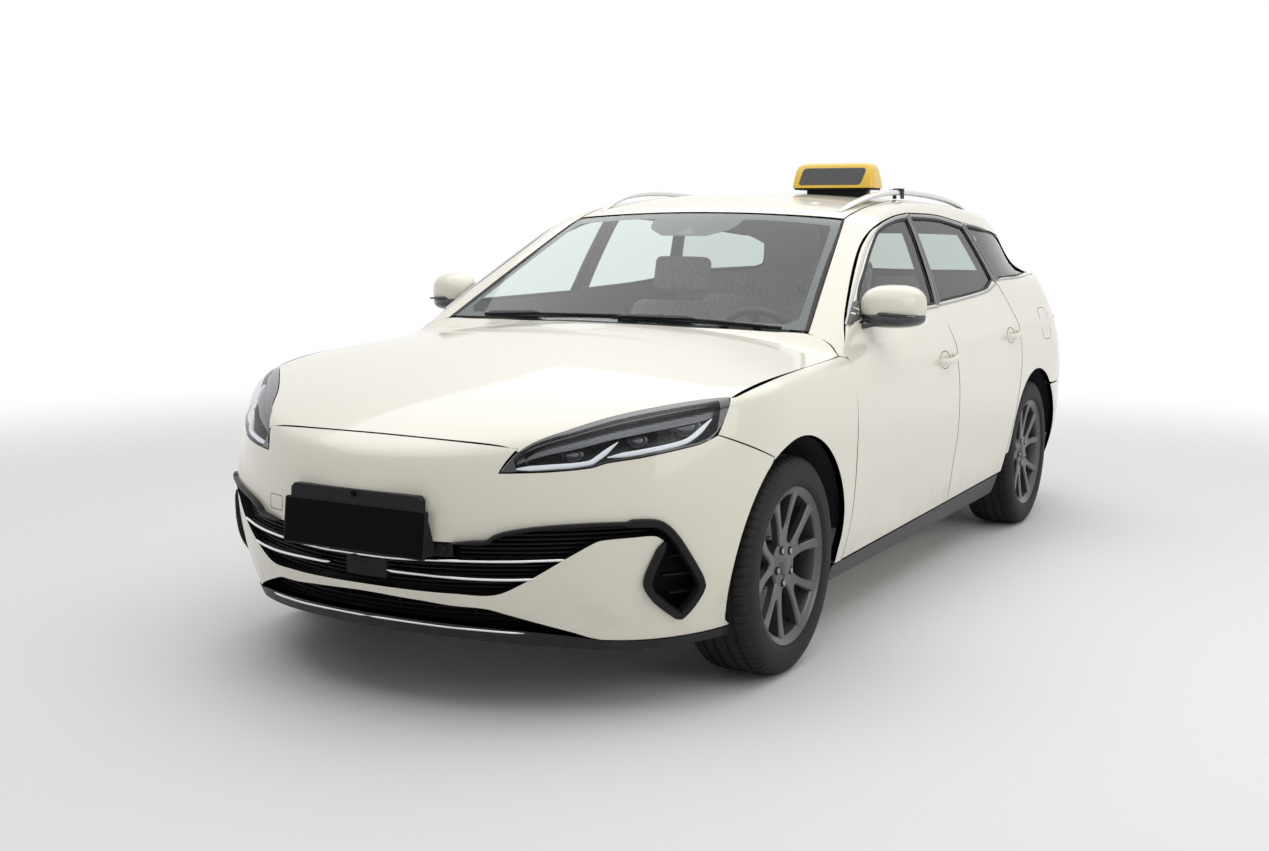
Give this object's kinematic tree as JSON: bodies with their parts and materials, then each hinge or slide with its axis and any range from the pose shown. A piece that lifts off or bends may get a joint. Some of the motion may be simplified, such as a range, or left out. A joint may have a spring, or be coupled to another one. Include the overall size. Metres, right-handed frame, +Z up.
{
  "type": "estate taxi",
  "caption": "Estate taxi with opening doors, hood and tailgate, steered front wheels, roof rails and a lit roof sign.",
  "frame": {"origin": "on the ground under the middle of the car's bounding box", "axes": "+Z up, front of the car towards -Y, the car's left towards +X"},
  "size_m": [2.072, 4.8471, 1.622],
  "materials": {
    "paint": "gloss",
    "structure": "satin",
    "black_plastic": "matte",
    "dark_plastic": "matte",
    "glass": "gloss",
    "lamp": "gloss",
    "red_lamp": "gloss",
    "rail": "satin",
    "sign": "gloss",
    "tyre": "matte",
    "rim": "satin",
    "iron": "matte",
    "upholstery": "matte",
    "block": "matte"
  },
  "bodies": {
    "body": {"floor_pan": "structure", "bumper_beams": "structure", "side_frames": "paint", "side_skirts": "dark_plastic", "roof_panel": "paint", "windscreen": "glass", "cowl": "black_plastic", "front_fenders": "paint", "front_bumper": "paint", "headlamps": "lamp", "hood_hinges": "structure", "door_hinges": "structure", "quarter_panels": "paint", "quarter_glass": "glass", "tail_lamps": "red_lamp", "rear_bumper": "paint", "front_subframe": "iron", "rear_axle": "iron", "arch_liners": "black_plastic", "grille": "black_plastic", "lower_lip": "black_plastic", "front_plate": "black_plastic", "roof_rails": "rail", "sign_base": "black_plastic", "taxi_sign": "sign", "sign_lead": "black_plastic", "power_unit": "block", "battery_pack": "block", "dashboard": "dark_plastic", "front_seats": "upholstery", "rear_seat": "upholstery"},
    "front_door_left_body": {"front_door_left": "paint", "front_door_glass_left": "glass", "mirror_left": "paint"},
    "wheel_front_left": {"tyre_front_left": "tyre", "rim_front_left": "rim"},
    "front_door_right_body": {"front_door_right": "paint", "front_door_glass_right": "glass", "mirror_right": "paint"},
    "wheel_front_right": {"tyre_front_right": "tyre", "rim_front_right": "rim"},
    "rear_door_left_body": {"rear_door_left": "paint", "rear_door_glass_left": "glass"},
    "wheel_rear_left": {"tyre_rear_left": "tyre", "rim_rear_left": "rim"},
    "rear_door_right_body": {"rear_door_right": "paint", "rear_door_glass_right": "glass"},
    "wheel_rear_right": {"tyre_rear_right": "tyre", "rim_rear_right": "rim"},
    "knuckle_left_body": {"knuckle_left": "iron"},
    "knuckle_right_body": {"knuckle_right": "iron"},
    "hood_body": {"hood": "paint"},
    "tailgate_body": {"tailgate": "paint", "light_bar": "red_lamp", "tailgate_glass": "glass"},
    "steering_wheel_body": {"steering_wheel": "black_plastic"}
  },
  "joints": [
    {"name": "left_steer", "type": "hinge", "parent": "body", "child": "knuckle_left_body", "pos_m": [0.74, -1.455, 0.338], "axis": [0, 0, 1], "range_deg": [-32, 32]},
    {"name": "wheel_front_left_spin", "type": "hinge", "parent": "knuckle_left_body", "child": "wheel_front_left", "pos_m": [0.805, -1.455, 0.338], "axis": [1, 0, 0], "continuous": true},
    {"name": "wheel_rear_left_spin", "type": "hinge", "parent": "body", "child": "wheel_rear_left", "pos_m": [0.805, 1.335, 0.338], "axis": [1, 0, 0], "continuous": true},
    {"name": "front_door_left_hinge", "type": "hinge", "parent": "body", "child": "front_door_left_body", "pos_m": [0.909, -0.942, 0.6], "axis": [0, 0, -1], "range_deg": [0, 65]},
    {"name": "rear_door_left_hinge", "type": "hinge", "parent": "body", "child": "rear_door_left_body", "pos_m": [0.909, 0.188, 0.6], "axis": [0, 0, -1], "range_deg": [0, 65]},
    {"name": "right_steer", "type": "hinge", "parent": "body", "child": "knuckle_right_body", "pos_m": [-0.74, -1.455, 0.338], "axis": [0, 0, 1], "range_deg": [-32, 32]},
    {"name": "wheel_front_right_spin", "type": "hinge", "parent": "knuckle_right_body", "child": "wheel_front_right", "pos_m": [-0.805, -1.455, 0.338], "axis": [1, 0, 0], "continuous": true},
    {"name": "wheel_rear_right_spin", "type": "hinge", "parent": "body", "child": "wheel_rear_right", "pos_m": [-0.805, 1.335, 0.338], "axis": [1, 0, 0], "continuous": true},
    {"name": "front_door_right_hinge", "type": "hinge", "parent": "body", "child": "front_door_right_body", "pos_m": [-0.909, -0.942, 0.6], "axis": [0, 0, 1], "range_deg": [0, 65]},
    {"name": "rear_door_right_hinge", "type": "hinge", "parent": "body", "child": "rear_door_right_body", "pos_m": [-0.909, 0.188, 0.6], "axis": [0, 0, 1], "range_deg": [0, 65]},
    {"name": "hood_hinge", "type": "hinge", "parent": "body", "child": "hood_body", "pos_m": [0, -0.985, 0.925], "axis": [-1, 0, 0], "range_deg": [0, 50]},
    {"name": "tailgate_hinge", "type": "hinge", "parent": "body", "child": "tailgate_body", "pos_m": [0, 1.952, 1.392], "axis": [1, 0, 0], "range_deg": [0, 75]},
    {"name": "steering_wheel_turn", "type": "hinge", "parent": "body", "child": "steering_wheel_body", "pos_m": [0.37, -0.5, 0.9], "axis": [0, 0.9063, 0.4226], "range_deg": [-500, 500]}
  ],
  "couplings": [
    {"joint": "right_steer", "follows": "left_steer", "ratio": 1},
    {"joint": "steering_wheel_turn", "follows": "left_steer", "ratio": 15}
  ]
}
